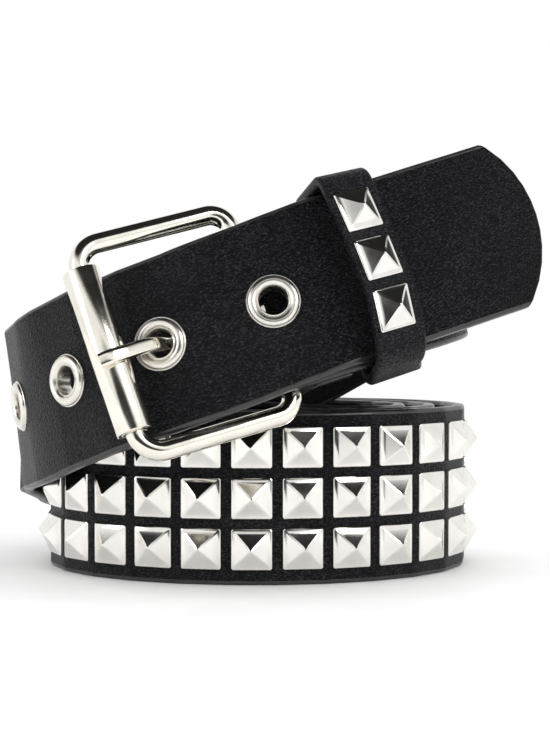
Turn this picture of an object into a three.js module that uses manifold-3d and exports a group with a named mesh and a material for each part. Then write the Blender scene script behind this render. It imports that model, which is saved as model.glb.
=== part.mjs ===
// A studded leather belt, standing on a table as a coil of three turns with its buckle fastened.
// Lengths are in millimetres and angles in degrees, with +Z up, +X to the right and +Y to the back.
// The origin is under the middle of the belt, on the table.
import * as THREE from 'three';
import { mergeVertices } from 'three/addons/utils/BufferGeometryUtils.js';
import Module from 'manifold-3d';

// The strap
const STRAP_WIDTH = 38;
const STRAP_THICKNESS = 3;
const TIP_END_RADIUS = 25.5;
const TIP_END_REACH = 17;
const TIP_END_SLANT = 3;
const TIP_LENGTH = 56.4;
const TIP_TWIST = 5;
const LAYER_GAP = 1.5;
const SEAT_GAP = 0.3;
const PLAIN_STEP = 6.5;
const BACK_EASING = 0.35;

// The fold round the heel bar, its slot for the prong and its two rivets
const FOLD_GAP = 0.4;
const FOLD_CLOSING = 7;
const FOLD_LENGTH = 14.5;
const FOLD_STEPS = 6;
const SLOT_LENGTH = 14;
const SLOT_DEPTH = 13;
const SLOT_CLEARANCE = 1.3;
const RIVET_FROM_BAR = 10.8;
const RIVET_SPACING = 18;
const RIVET_POST = 3;
const RIVET_HEAD = 6;
const RIVET_HEAD_HEIGHT = 0.8;
const HOLE_SIDES = 16;

// The pyramid studs on the strap
const STUD_SIZE = 9;
const STUD_RIM = 0.7;
const STUD_PEAK = 2.7;
const STUD_PITCH = 10.9;
const STUD_ROW_PITCH = 11.1;
const STUD_ROWS = 3;
const STUD_FIELD_MARGIN = 31.1;
const STUD_FIELD_END_MARGIN = 62;

// The coil: half sizes of its outer face, and the room that each turn takes
const COIL_HALF_WIDTH = 50;
const COIL_HALF_DEPTH = 40;
const TURN_CLEARANCE = 0.5;
const TURN_PITCH = STRAP_THICKNESS + STUD_RIM + STUD_PEAK + TURN_CLEARANCE;

// The eyelets
const EYELET_COUNT = 7;
const EYELET_FROM_TIP_ROOT = 10;
const EYELET_PITCH = 25.4;
const EYELET_HOLE = 6.1;
const EYELET_WALL = 0.6;
const EYELET_FLANGE = 11.7;
const EYELET_BACK_FLANGE = 10.4;
const EYELET_LIP = 0.9;
const EYELET_LIP_BEVEL = 0.9;
const EYELET_THROAT = 0.7;
const EYELET_BACK_LIP = 0.5;
const EYELET_BACK_BEVEL = 0.5;
const EYELET_SEAT = EYELET_FLANGE + 1;
const EYELET_SIDES = 16;

// The buckle
const BUCKLE_WIRE = 4.4;
const BUCKLE_INNER_HEIGHT = 43.2;
const BUCKLE_BAR_SPACING = 35;
const BUCKLE_ROLLER_CORNER = 5.4;
const BUCKLE_HEEL_CORNER = 4.4;
const CORNER_STEPS = 4;
const WIRE_SIDES = 12;
const BUCKLE_SWING = 4.5;
const BUCKLE_SHIFT = 1.2;
const ROLLER_DIAMETER = 7.9;
const ROLLER_LENGTH = 37;
const ROLLER_SIDES = 20;
const PRONG_WIDTH = 3.2;
const PRONG_THICKNESS = 2.2;
const PRONG_BEVEL = 0.5;
const PRONG_EYELET = 2;
const PRONG_LOOP_START = 375;
const PRONG_LOOP_END = 100;
const PRONG_LOOP_STEPS = 9;
const PRONG_TILT = 22;
const PRONG_DIP = 2.3;
const PRONG_PAST_ROLLER = 3.4;
const PRONG_STEPS = 18;

// The keeper loop
const KEEPER_WIDTH = 13;
const KEEPER_WALL = 2.5;
const KEEPER_RAISE = 2.6;
const KEEPER_CLEARANCE = 0.4;
const KEEPER_INNER_RADIUS = 1;
const KEEPER_BOW = 1.2;
const KEEPER_STUD_PITCH = 11.2;
const KEEPER_STUD_SHIFT = 0.4;
const KEEPER_STUD_SLIDE = 0.8;
const KEEPER_BEND = 0.009;
const KEEPER_BEND_FROM = -2;
const KEEPER_SWEEP = 4;
const KEEPER_FROM_TIP_ROOT = -13;

// Attitude of the strap's two straight stretches at the front
const FRONT_CLIMB = 17.3;
const TIP_HEADING = 20;
const BUCKLE_HEADING = 15;
const BUCKLE_CLIMB = 16.2;
const BUCKLE_LAYER_RAISE = 0.7;
const BUCKLE_RUN = 30;
const BAR_FROM_TIP_ROOT = 11.8;

// Where the strap runs.  turn is the angle travelled round the coil from its front middle, out is
// the distance outside the first turn in turn pitches, rise is the height of the lower edge as a
// share of the strap's width, and lean tips the upper edge outward.
const TIP_ROOT = { turn: -15, out: 1.5, rise: 1.21, lean: -18 };
const FRONT_ROWS = [
  { turn: -5, out: 1.5, rise: 1.11, lean: -16 },
  { turn: 18, out: 1.83, rise: 0.88, lean: -11 },
  { turn: 42, out: 1.5, rise: 0.68, lean: 0 },
  { turn: 68, out: 1.08, rise: 0.51, lean: 7 },
  { turn: 90, out: 0.95, rise: 0.44, lean: 6 },
  { turn: 112.5, out: 0.87, rise: 0.31, lean: 4 },
  { turn: 135, out: 0.81, rise: 0.18, lean: 2 },
  { turn: 157.5, out: 0.72, rise: 0.07, lean: 1 },
  { turn: 180, out: 0.59, rise: 0.02, lean: 0 },
];
const RISING_ROWS = [
  { turn: 1035, out: -1.9, rise: 0.005, lean: 0 },
  { turn: 1057.5, out: -2.02, rise: 0.02, lean: 1 },
  { turn: 1080, out: -2.18, rise: 0.045, lean: 3 },
  { turn: 1102.5, out: -2.36, rise: 0.08, lean: 9 },
  { turn: 1125, out: -2.52, rise: 0.13, lean: 16 },
  { turn: 1147.5, out: -2.64, rise: 0.2, lean: 18 },
  { turn: 1170, out: -2.74, rise: 0.29, lean: 8 },
  { turn: 1192.5, out: -2.82, rise: 0.4, lean: -2 },
  { turn: 1215, out: -2.86, rise: 0.53, lean: -6 },
  { turn: 1237.5, out: -2.86, rise: 0.67, lean: -3 },
  { turn: 1260, out: -2.84, rise: 0.81, lean: 0 },
  { turn: 1282, out: -2.8, rise: 0.95, lean: -4 },
  { turn: 1302, out: -2.6, rise: 1.1, lean: -6 },
  { turn: 1322, out: -2.05, rise: 1.24, lean: -8 },
  { turn: 1342, out: -1.2, rise: 1.35, lean: -9 },
  { turn: 1359, out: -0.5, rise: 1.4, lean: -10 },
  { turn: 1374, out: 0.15, rise: 1.41, lean: -12 },
];
const SPIRAL_FIRST_TURN = 202.5;
const SPIRAL_LAST_TURN = 1012.5;
const SPIRAL_STEP = 22.5;

const wasm = await Module();
wasm.setup();

const toRadians = THREE.MathUtils.degToRad;
const UP = new THREE.Vector3(0, 0, 1);
const vector = (x, y, z) => new THREE.Vector3(x, y, z);

// Returns a + b * factor, leaving both as they are.
function plus(a, b, factor = 1) {
  return a.clone().addScaledVector(b, factor);
}

// A natural cubic spline through rows of numbers at the given knots.
function splineThrough(knots, rows) {
  const last = knots.length - 1;
  const columns = rows[0].length;
  const gap = knots.slice(1).map((knot, i) => knot - knots[i]);
  const bend = rows.map(() => new Array(columns).fill(0));
  const upper = new Array(last + 1).fill(0);
  for (let i = 1; i < last; i++) {
    const pivot = 2 * (gap[i - 1] + gap[i]) - gap[i - 1] * upper[i - 1];
    upper[i] = gap[i] / pivot;
    for (let c = 0; c < columns; c++) {
      const turnIn = (rows[i][c] - rows[i - 1][c]) / gap[i - 1];
      const turnOut = (rows[i + 1][c] - rows[i][c]) / gap[i];
      bend[i][c] = (6 * (turnOut - turnIn) - gap[i - 1] * bend[i - 1][c]) / pivot;
    }
  }
  for (let i = last - 1; i > 0; i--) {
    for (let c = 0; c < columns; c++) {
      bend[i][c] -= upper[i] * bend[i + 1][c];
    }
  }
  return (place) => {
    let i = knots.findIndex((knot) => knot > place) - 1;
    if (i < 0) i = last - 1;
    const a = (knots[i + 1] - place) / gap[i];
    const b = 1 - a;
    const square = gap[i] ** 2 / 6;
    return rows[i].map((value, c) => a * value + b * rows[i + 1][c]
      + ((a ** 3 - a) * bend[i][c] + (b ** 3 - b) * bend[i + 1][c]) * square);
  };
}

// A point of the coil's plan, on the middle of the leather's thickness.
function coilPoint(turn, out) {
  const angle = toRadians(turn);
  const halfWidth = COIL_HALF_WIDTH - STRAP_THICKNESS / 2;
  const halfDepth = COIL_HALF_DEPTH - STRAP_THICKNESS / 2;
  const normal = vector(-Math.sin(angle) / halfWidth, -Math.cos(angle) / halfDepth, 0).normalize();
  const onTurn = vector(-halfWidth * Math.sin(angle), -halfDepth * Math.cos(angle), 0);
  return plus(onTurn, normal, out * TURN_PITCH);
}

function rowPoint(row) {
  return coilPoint(row.turn, row.out).setZ(STRAP_WIDTH * (0.5 + row.rise));
}

function heading(turn, climb) {
  const [h, c] = [toRadians(turn), toRadians(climb)];
  return vector(Math.cos(c) * Math.cos(h), Math.cos(c) * Math.sin(h), Math.sin(c));
}

// The strap's middle line with its lean, sampled evenly by length.
class StrapLine {
  constructor(stops) {
    const knots = [0];
    for (let i = 1; i < stops.length; i++) {
      knots.push(knots[i - 1] + stops[i].point.distanceTo(stops[i - 1].point));
    }
    const rows = stops.map((stop) => [...stop.point.toArray(), stop.lean]);
    const curve = splineThrough(knots, rows);
    const samples = Math.ceil(knots.at(-1) * 3);
    this.places = [0];
    this.rows = [curve(0)];
    for (let i = 1; i <= samples; i++) {
      const row = curve(knots.at(-1) * i / samples);
      const step = Math.hypot(...[0, 1, 2].map((c) => row[c] - this.rows[i - 1][c]));
      this.places.push(this.places[i - 1] + step);
      this.rows.push(row);
    }
    this.length = this.places.at(-1);
  }

  rowAt(place) {
    let low = 0;
    let high = this.places.length - 1;
    while (high - low > 1) {
      const middle = (low + high) >> 1;
      if (this.places[middle] > place) high = middle;
      else low = middle;
    }
    const share = (place - this.places[low]) / (this.places[high] - this.places[low]);
    return this.rows[low].map((value, c) => value + share * (this.rows[high][c] - value));
  }

  // The strap's axes at a place: along its length, across its width, and out of its face.
  at(place) {
    const reach = 0.5;
    const row = this.rowAt(place);
    const ahead = vector(...this.rowAt(place + reach));
    const along = ahead.sub(vector(...this.rowAt(place - reach))).normalize();
    const across = plus(UP, along, -UP.dot(along)).normalize();
    across.applyAxisAngle(along, -toRadians(row[3]));
    return axes(vector(...row), along, across);
  }

  // A flat stretch of the strap that a stud or an eyelet sits on.
  seat(middle, size) {
    const start = this.at(middle - size / 2);
    const end = this.at(middle + size / 2);
    const along = end.centre.clone().sub(start.centre).normalize();
    const across = plus(start.across, end.across);
    across.addScaledVector(along, -across.dot(along)).normalize();
    return axes(plus(start.centre, end.centre).multiplyScalar(0.5), along, across);
  }
}

function axes(centre, along, across) {
  return { centre, along, across, out: across.clone().cross(along) };
}

function moved(frame, along, across = 0, out = 0) {
  const centre = plus(plus(plus(frame.centre, frame.along, along), frame.across, across), frame.out, out);
  return { ...frame, centre };
}

// The strap's stops from its tip to the buckle's heel bar.
function strapStops() {
  const root = rowPoint(TIP_ROOT);
  const tipWay = heading(TIP_HEADING, FRONT_CLIMB);
  const tip = [4, 3, 2, 1, 0].map((k) => (
    { point: plus(root, tipWay, TIP_LENGTH * k / 4), lean: TIP_ROOT.lean + TIP_TWIST * k / 4 }));
  const front = FRONT_ROWS.map((row) => ({ point: rowPoint(row), lean: row.lean }));
  const spiral = [];
  for (let turn = SPIRAL_FIRST_TURN; turn <= SPIRAL_LAST_TURN; turn += SPIRAL_STEP) {
    spiral.push({ point: rowPoint({ turn, out: 1 - turn / 360, rise: 0 }), lean: 0 });
  }
  const rising = RISING_ROWS.map((row) => ({ point: rowPoint(row), lean: row.lean }));
  const upper = new StrapLine([...tip, ...front]);
  const over = upper.at(TIP_LENGTH + BAR_FROM_TIP_ROOT);
  const under = moved(over, 0, BUCKLE_LAYER_RAISE, -STRAP_THICKNESS - LAYER_GAP);
  const buckleWay = heading(BUCKLE_HEADING, BUCKLE_CLIMB);
  const buckle = [3, 2, 1, 0].map((k) => (
    { point: plus(under.centre, buckleWay, BUCKLE_RUN * k / 3), lean: TIP_ROOT.lean }));
  return [...tip, ...front, ...spiral, ...rising, ...buckle];
}

const line = new StrapLine(strapStops());
const firstEyelet = TIP_LENGTH + EYELET_FROM_TIP_ROOT;
const eyeletSeats = Array.from({ length: EYELET_COUNT }, (_, i) => (
  line.seat(firstEyelet + i * EYELET_PITCH, EYELET_SEAT)));
const studStart = firstEyelet + (EYELET_COUNT - 1) * EYELET_PITCH + STUD_FIELD_MARGIN;
const studEnd = line.length - STUD_FIELD_END_MARGIN;
const studColumns = Math.floor((studEnd - studStart) / STUD_PITCH) + 1;
const studPlaces = Array.from({ length: studColumns }, (_, i) => studStart + i * STUD_PITCH);

// The buckle's own axes: along points from the heel bar to the roller bar.
const foldRadius = BUCKLE_WIRE / 2 + SEAT_GAP + STRAP_THICKNESS / 2;
const beltEnd = line.at(line.length);
const heelBar = moved(beltEnd, 0, 0, -foldRadius);
const prongRoot = swung(heelBar, BUCKLE_SWING);
const buckle = moved(prongRoot, 0, BUCKLE_SHIFT);
const keeperSeat = line.at(TIP_LENGTH + KEEPER_FROM_TIP_ROOT);
const layerBehind = layerInsideKeeper();

// How deep behind the tip, and how low, the strap's buckle end runs through the keeper.
function layerInsideKeeper() {
  const reach = { depth: 0, low: 0 };
  for (let back = 0; back < BUCKLE_RUN * 2; back++) {
    const frame = line.at(line.length - back);
    for (const side of [-1, 1]) {
      const corner = moved(frame, 0, side * STRAP_WIDTH / 2, -STRAP_THICKNESS / 2);
      const offset = corner.centre.clone().sub(keeperSeat.centre);
      if (Math.abs(offset.dot(keeperSeat.along)) > KEEPER_WIDTH / 2 + KEEPER_SWEEP) continue;
      reach.depth = Math.max(reach.depth, -offset.dot(keeperSeat.out));
      reach.low = Math.max(reach.low, -offset.dot(keeperSeat.across));
    }
  }
  return reach;
}

// Turns a frame about its across axis, so that along swings toward out.
function swung(frame, angle) {
  const turned = (axis) => axis.clone().applyAxisAngle(frame.across, toRadians(angle));
  return axes(frame.centre, turned(frame.along), frame.across);
}

// Collects triangles and makes a mesh body of them.
class Body {
  constructor() {
    this.positions = [];
  }

  triangle(a, b, c) {
    for (const p of [a, b, c]) this.positions.push(p.x, p.y, p.z);
  }

  quad(a, b, c, d) {
    this.triangle(a, b, c);
    this.triangle(a, c, d);
  }

  // Joins closed rings of as many points into a skin.
  skin(rings, closed = false) {
    const steps = closed ? rings.length : rings.length - 1;
    for (let i = 0; i < steps; i++) {
      const [from, to] = [rings[i], rings[(i + 1) % rings.length]];
      for (let k = 0; k < from.length; k++) {
        const next = (k + 1) % from.length;
        this.quad(from[k], from[next], to[next], to[k]);
      }
    }
  }

  // Closes a convex ring, fanned from its first point.
  cap(ring, reversed = false) {
    for (let k = 1; k < ring.length - 1; k++) {
      if (reversed) this.triangle(ring[0], ring[k + 1], ring[k]);
      else this.triangle(ring[0], ring[k], ring[k + 1]);
    }
  }

  geometry() {
    const shape = new THREE.BufferGeometry();
    shape.setAttribute('position', new THREE.Float32BufferAttribute(this.positions, 3));
    return shape;
  }
}

// Solids for joining and cutting.
function toSolid(shape) {
  const bare = shape.clone();
  bare.deleteAttribute('normal');
  bare.deleteAttribute('uv');
  const merged = mergeVertices(bare, 1e-4);
  return new wasm.Manifold(new wasm.Mesh({
    numProp: 3,
    vertProperties: merged.attributes.position.array,
    triVerts: new Uint32Array(merged.index.array),
  }));
}

function fromSolid(solid) {
  const mesh = solid.getMesh();
  const shape = new THREE.BufferGeometry();
  const count = mesh.vertProperties.length / mesh.numProp;
  const places = new Float32Array(count * 3);
  for (let i = 0; i < count; i++) {
    for (let c = 0; c < 3; c++) {
      places[3 * i + c] = mesh.vertProperties[i * mesh.numProp + c];
    }
  }
  shape.setAttribute('position', new THREE.BufferAttribute(places, 3));
  shape.setIndex(new THREE.BufferAttribute(new Uint32Array(mesh.triVerts), 1));
  return shape;
}

// Puts a shape made round +Z into a frame, with +Z along its out axis.
function placed(shape, frame) {
  const matrix = new THREE.Matrix4().makeBasis(frame.along, frame.across.clone().negate(), frame.out);
  return shape.clone().applyMatrix4(matrix.setPosition(frame.centre));
}

// The strap's stations, each with the rows of its section.
function strapStations() {
  const flats = [
    ...eyeletSeats.map((seat) => ({ seat, size: EYELET_SEAT })),
    ...studPlaces.map((place) => ({ seat: line.seat(place, STUD_SIZE), size: STUD_SIZE, stud: true })),
  ];
  const places = [
    ...eyeletSeats.map((_, i) => firstEyelet + i * EYELET_PITCH),
    ...studPlaces,
  ];
  const stations = [];
  let reached = 0;
  const fillTo = (place) => {
    const steps = Math.max(1, Math.round((place - reached) / PLAIN_STEP));
    for (let k = reached === 0 ? 0 : 1; k < steps; k++) {
      const at = reached + (place - reached) * k / steps;
      stations.push({ ...line.at(at), place: at });
    }
  };
  flats.forEach(({ seat, size, stud }, i) => {
    fillTo(places[i] - size / 2);
    const ends = [-size / 2, size / 2];
    const [start, end] = ends.map((reach) => ({ ...moved(seat, reach), place: places[i] + reach }));
    stations.push({ ...start, stud, easing: BACK_EASING });
    stations.push({ ...end, easing: -BACK_EASING });
    reached = places[i] + size / 2;
  });
  fillTo(line.length);
  return [...stations, ...foldStations()];
}

// The strap's end: round the heel bar and back behind its own front layer.
function foldStations() {
  const stations = [];
  for (let k = 0; k <= FOLD_STEPS; k++) {
    const angle = 180 * k / FOLD_STEPS;
    const [c, s] = [Math.cos(toRadians(angle)), Math.sin(toRadians(angle))];
    const out = beltEnd.out.clone().multiplyScalar(c).addScaledVector(beltEnd.along, s);
    const along = beltEnd.along.clone().multiplyScalar(c).addScaledVector(beltEnd.out, -s);
    const centre = plus(heelBar.centre, out, foldRadius);
    stations.push({ centre, along, across: beltEnd.across, out });
  }
  const closeDepth = STRAP_THICKNESS + FOLD_GAP;
  const wideDepth = 2 * foldRadius;
  const drop = wideDepth - closeDepth;
  for (const share of [0.25, 0.5, 0.75, 1]) {
    const depth = wideDepth - drop * share ** 2 * (3 - 2 * share);
    const slope = Math.atan(6 * share * (1 - share) * drop / FOLD_CLOSING);
    stations.push(foldedBack(share * FOLD_CLOSING, depth, slope));
  }
  stations.push(foldedBack(FOLD_LENGTH, closeDepth, 0));
  return stations;
}

// A station of the folded layer, running away from the buckle at a slope.
function foldedBack(back, depth, slope) {
  const along = beltEnd.along.clone().negate().applyAxisAngle(beltEnd.across, slope);
  return axes(moved(beltEnd, -back, 0, -depth).centre, along, beltEnd.across);
}

// How far the tip's round end sets back, across the strap.
function tipSetback(across) {
  const slant = TIP_END_SLANT * (0.5 - across / STRAP_WIDTH);
  return TIP_END_RADIUS - Math.sqrt(TIP_END_RADIUS ** 2 - across ** 2) + slant;
}

function strapShape() {
  const half = STRAP_WIDTH / 2;
  const rows = [-half];
  for (let row = 0; row < STUD_ROWS; row++) {
    const middle = (row - (STUD_ROWS - 1) / 2) * STUD_ROW_PITCH;
    rows.push(middle - STUD_SIZE / 2, middle + STUD_SIZE / 2);
  }
  rows.push(half);
  const stations = strapStations();
  const point = (station, across, out, easing = 0) => {
    const share = Math.max(0, 1 - (station.place ?? TIP_END_REACH) / TIP_END_REACH);
    return moved(station, tipSetback(across) * share + easing, across, out).centre;
  };
  const rings = stations.map((station) => [
    ...rows.map((across) => point(station, across, STRAP_THICKNESS / 2)),
    point(station, half, -STRAP_THICKNESS / 2, station.easing),
    point(station, -half, -STRAP_THICKNESS / 2, station.easing),
  ]);
  const body = new Body();
  for (let i = 0; i < rings.length - 1; i++) {
    const [from, to] = [rings[i], rings[i + 1]];
    for (let k = 0; k < from.length; k++) {
      const next = (k + 1) % from.length;
      const studded = stations[i].stud && k % 2 === 1 && k < 2 * STUD_ROWS;
      if (studded) addStud(body, [from[k], from[next], to[next], to[k]], stations[i].out);
      else body.quad(from[k], from[next], to[next], to[k]);
    }
  }
  capStrap(body, rings[0], true);
  capStrap(body, rings.at(-1), false);
  return body.geometry();
}

// Closes an end of the strap: its outer rows fan from the inner lower corner.
function capStrap(body, ring, atStart) {
  const corner = ring.at(-1);
  for (let k = 0; k < ring.length - 2; k++) {
    if (atStart) body.triangle(corner, ring[k + 1], ring[k]);
    else body.triangle(corner, ring[k], ring[k + 1]);
  }
}

// A pyramid stud with an upright rim, raised from the four corners of its base.
function addStud(body, base, out) {
  const rim = base.map((corner) => plus(corner, out, STUD_RIM));
  const middle = base.reduce((sum, corner) => sum.add(corner), vector(0, 0, 0)).multiplyScalar(1 / 4);
  const peak = plus(middle, out, STUD_RIM + STUD_PEAK);
  for (let k = 0; k < base.length; k++) {
    const next = (k + 1) % base.length;
    body.quad(base[k], base[next], rim[next], rim[k]);
    body.triangle(rim[k], rim[next], peak);
  }
}

// A straight round cutter through the strap at a seat, reaching a little past both faces.
function holeCutter(frame, diameter, depth) {
  const cutter = new THREE.CylinderGeometry(diameter / 2, diameter / 2, depth, HOLE_SIDES);
  return toSolid(placed(cutter.rotateX(Math.PI / 2), frame));
}

function strap() {
  let solid = toSolid(strapShape());
  const depth = STRAP_THICKNESS + LAYER_GAP / 2;
  const eyeletBore = EYELET_HOLE + 2 * EYELET_WALL + 2 * SEAT_GAP;
  for (const seat of eyeletSeats) {
    solid = solid.subtract(holeCutter(seat, eyeletBore, depth));
  }
  for (const seat of rivetSeats()) {
    const bore = RIVET_POST + 2 * SEAT_GAP;
    solid = solid.subtract(holeCutter(seat, bore, 2 * STRAP_THICKNESS + FOLD_GAP + LAYER_GAP / 2));
  }
  const slot = new THREE.BoxGeometry(SLOT_LENGTH, PRONG_WIDTH + 2 * SLOT_CLEARANCE, SLOT_DEPTH);
  solid = solid.subtract(toSolid(placed(slot, heelBar)));
  return fromSolid(solid);
}

// The middles of the rivets, halfway through the two layers of the fold.
function rivetSeats() {
  return [-1, 1].map((side) => (
    moved(beltEnd, -RIVET_FROM_BAR, side * RIVET_SPACING / 2, -(STRAP_THICKNESS + FOLD_GAP) / 2)));
}

// A closed outline of [radius, height] pairs, turned round the out axis of a frame.
function turned(outline, sides, frame) {
  const points = [...outline, outline[0]].map(([radius, height]) => new THREE.Vector2(radius, height));
  return placed(new THREE.LatheGeometry(points, sides).rotateX(Math.PI / 2), frame);
}

function eyelet(seat) {
  const hole = EYELET_HOLE / 2;
  const barrel = hole + EYELET_WALL;
  const face = STRAP_THICKNESS / 2 + SEAT_GAP;
  const top = face + EYELET_LIP;
  const back = face + EYELET_BACK_LIP;
  return turned([
    [hole, -back], [EYELET_BACK_FLANGE / 2 - EYELET_BACK_BEVEL, -back],
    [EYELET_BACK_FLANGE / 2, -face], [barrel, -face],
    [barrel, face], [EYELET_FLANGE / 2, face],
    [EYELET_FLANGE / 2 - EYELET_LIP_BEVEL, top], [hole + EYELET_THROAT, top], [hole, face],
  ], EYELET_SIDES, seat);
}

function rivet(seat) {
  const post = RIVET_POST / 2;
  const head = RIVET_HEAD / 2;
  const face = STRAP_THICKNESS + FOLD_GAP / 2 + SEAT_GAP;
  const top = face + RIVET_HEAD_HEIGHT;
  const outline = [
    [0, -top], [head, -top], [head, -face], [post, -face],
    [post, face], [head, face], [head, top], [0, top],
  ].map(([radius, height]) => new THREE.Vector2(radius, height));
  return placed(new THREE.LatheGeometry(outline, EYELET_SIDES).rotateX(Math.PI / 2), seat);
}

// A round bar swept along points, each with its section's two axes.
function sweep(frames, section, closed = false) {
  const body = new Body();
  const rings = frames.map(({ centre, side, lift }) => (
    section.map(([a, b]) => plus(plus(centre, side, a), lift, b))));
  body.skin(rings, closed);
  if (!closed) {
    body.cap(rings[0], true);
    body.cap(rings.at(-1));
  }
  return body.geometry();
}

function circle(radius, sides) {
  return Array.from({ length: sides }, (_, k) => {
    const angle = 2 * Math.PI * k / sides;
    return [radius * Math.cos(angle), radius * Math.sin(angle)];
  });
}

// The frame's middle line in the buckle's plane, as [along, across] with its heading.
function buckleOutline() {
  const half = (BUCKLE_INNER_HEIGHT + BUCKLE_WIRE) / 2;
  const corners = [
    { x: BUCKLE_BAR_SPACING, y: -half, radius: BUCKLE_ROLLER_CORNER, from: -90 },
    { x: BUCKLE_BAR_SPACING, y: half, radius: BUCKLE_ROLLER_CORNER, from: 0 },
    { x: 0, y: half, radius: BUCKLE_HEEL_CORNER, from: 90 },
    { x: 0, y: -half, radius: BUCKLE_HEEL_CORNER, from: 180 },
  ];
  const points = [];
  for (const { x, y, radius, from } of corners) {
    const middleX = x - Math.sign(x - BUCKLE_BAR_SPACING / 2) * radius;
    const middleY = y - Math.sign(y) * radius;
    for (let k = 0; k <= CORNER_STEPS; k++) {
      const angle = toRadians(from + 90 * k / CORNER_STEPS);
      points.push([middleX + radius * Math.cos(angle), middleY + radius * Math.sin(angle), angle]);
    }
  }
  return points;
}

function buckleFrame() {
  const frames = buckleOutline().map(([x, y, angle]) => ({
    centre: moved(buckle, x, y).centre,
    side: buckle.along.clone().multiplyScalar(Math.cos(angle))
      .addScaledVector(buckle.across, Math.sin(angle)),
    lift: buckle.out,
  }));
  return sweep(frames, circle(BUCKLE_WIRE / 2, WIRE_SIDES), true);
}

function buckleRoller() {
  const inner = BUCKLE_WIRE / 2 + SEAT_GAP;
  const outer = ROLLER_DIAMETER / 2;
  const half = ROLLER_LENGTH / 2;
  const outline = [[inner, -half], [outer, -half], [outer, half], [inner, half]];
  const bar = moved(buckle, BUCKLE_BAR_SPACING);
  const lying = { centre: bar.centre, along: bar.along, across: bar.out.clone().negate(), out: bar.across };
  return turned(outline, ROLLER_SIDES, lying);
}

// The prong's middle line: round the heel bar, through an eyelet and onto the roller.
function prongLine() {
  const loop = BUCKLE_WIRE / 2 + SEAT_GAP + PRONG_THICKNESS / 2;
  const rest = ROLLER_DIAMETER / 2 + SEAT_GAP + PRONG_THICKNESS / 2;
  const behind = STRAP_THICKNESS / 2 + EYELET_BACK_LIP + 2 * SEAT_GAP + PRONG_THICKNESS / 2;
  const half = STRAP_THICKNESS / 2 + EYELET_LIP + SEAT_GAP;
  const lean = Math.tan(toRadians(PRONG_TILT));
  const seat = eyeletSeats[PRONG_EYELET - 1];
  const points = [];
  for (let k = 0; k <= PRONG_LOOP_STEPS; k++) {
    const share = k / PRONG_LOOP_STEPS;
    const angle = toRadians(PRONG_LOOP_START + (PRONG_LOOP_END - PRONG_LOOP_START) * share);
    points.push(moved(prongRoot, loop * Math.cos(angle), 0, loop * Math.sin(angle)).centre);
  }
  const way = new THREE.CatmullRomCurve3([
    points.at(-1),
    moved(seat, -EYELET_FLANGE, 0, -behind - PRONG_DIP).centre,
    moved(seat, -EYELET_FLANGE / 2, 0, -behind - PRONG_DIP / 2).centre,
    moved(seat, -half * lean, 0, -half).centre,
    moved(seat, half * lean, 0, half).centre,
    moved(prongRoot, BUCKLE_BAR_SPACING, 0, rest).centre,
    moved(prongRoot, BUCKLE_BAR_SPACING + PRONG_PAST_ROLLER, 0, rest - SEAT_GAP).centre,
  ], false, 'centripetal');
  return [...points.slice(0, -1), ...way.getSpacedPoints(PRONG_STEPS)];
}

function buckleProng() {
  const points = prongLine();
  const frames = points.map((centre, i) => {
    const before = points[Math.max(0, i - 1)];
    const after = points[Math.min(points.length - 1, i + 1)];
    const forward = after.clone().sub(before).normalize();
    const side = plus(buckle.across, forward, -buckle.across.dot(forward)).normalize();
    return { centre, side, lift: side.clone().cross(forward) };
  });
  const [w, t] = [PRONG_WIDTH / 2, PRONG_THICKNESS / 2];
  const bevel = PRONG_BEVEL;
  const section = [
    [-w, -t + bevel], [-w + bevel, -t], [w - bevel, -t], [w, -t + bevel],
    [w, t - bevel], [w - bevel, t], [-w + bevel, t], [-w, t - bevel],
  ];
  return sweep(frames, section.reverse());
}

// The keeper's section in its own plane, as [across, out], grown outward by a wall.
function keeperOutline(wall) {
  const face = STRAP_THICKNESS / 2 + KEEPER_CLEARANCE + wall;
  const back = layerBehind.depth + KEEPER_CLEARANCE + wall;
  const top = STRAP_WIDTH / 2 + KEEPER_CLEARANCE + wall;
  const bottom = layerBehind.low + KEEPER_CLEARANCE + wall;
  const radius = KEEPER_INNER_RADIUS + wall;
  const corners = [
    { x: -bottom + radius, y: face - radius, from: 180, to: 90 },
    { x: top - radius, y: face - radius, from: 90, to: 0 },
    { x: top - radius, y: -back + radius, from: 0, to: -90 },
    { x: -bottom + radius, y: -back + radius, from: -90, to: -180 },
  ];
  const points = [];
  corners.forEach(({ x, y, from, to }, i) => {
    for (let k = 0; k <= CORNER_STEPS; k++) {
      const angle = toRadians(from + (to - from) * k / CORNER_STEPS);
      points.push([x + radius * Math.cos(angle), y + radius * Math.sin(angle)]);
    }
    if (i === 0) {
      for (const place of keeperStudPlaces()) {
        points.push([place - STUD_SIZE / 2, face], [place + STUD_SIZE / 2, face]);
      }
    }
  });
  return points.map(([x, y]) => [x, y > 0 ? y + keeperBow(x) : y]);
}

function keeperStudPlaces() {
  return [-1, 0, 1].map((k) => KEEPER_STUD_SHIFT + k * KEEPER_STUD_PITCH);
}

// How far the keeper's front bows out, at a place across the strap.
function keeperBow(across) {
  const share = across / (STRAP_WIDTH / 2 + KEEPER_CLEARANCE + KEEPER_WALL);
  return KEEPER_BOW * Math.max(0, 1 - share ** 2);
}

// A point of the keeper: its front stands out further towards the buckle, and its low end bends there.
function keeperPoint(along, [across, out]) {
  const raise = out > 0 ? KEEPER_RAISE * (0.5 + along / KEEPER_WIDTH) : 0;
  const bend = out > 0 ? KEEPER_BEND * Math.min(0, across - KEEPER_BEND_FROM) ** 2 : 0;
  return moved(keeperSeat, along + bend, across, out + raise).centre;
}

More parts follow.
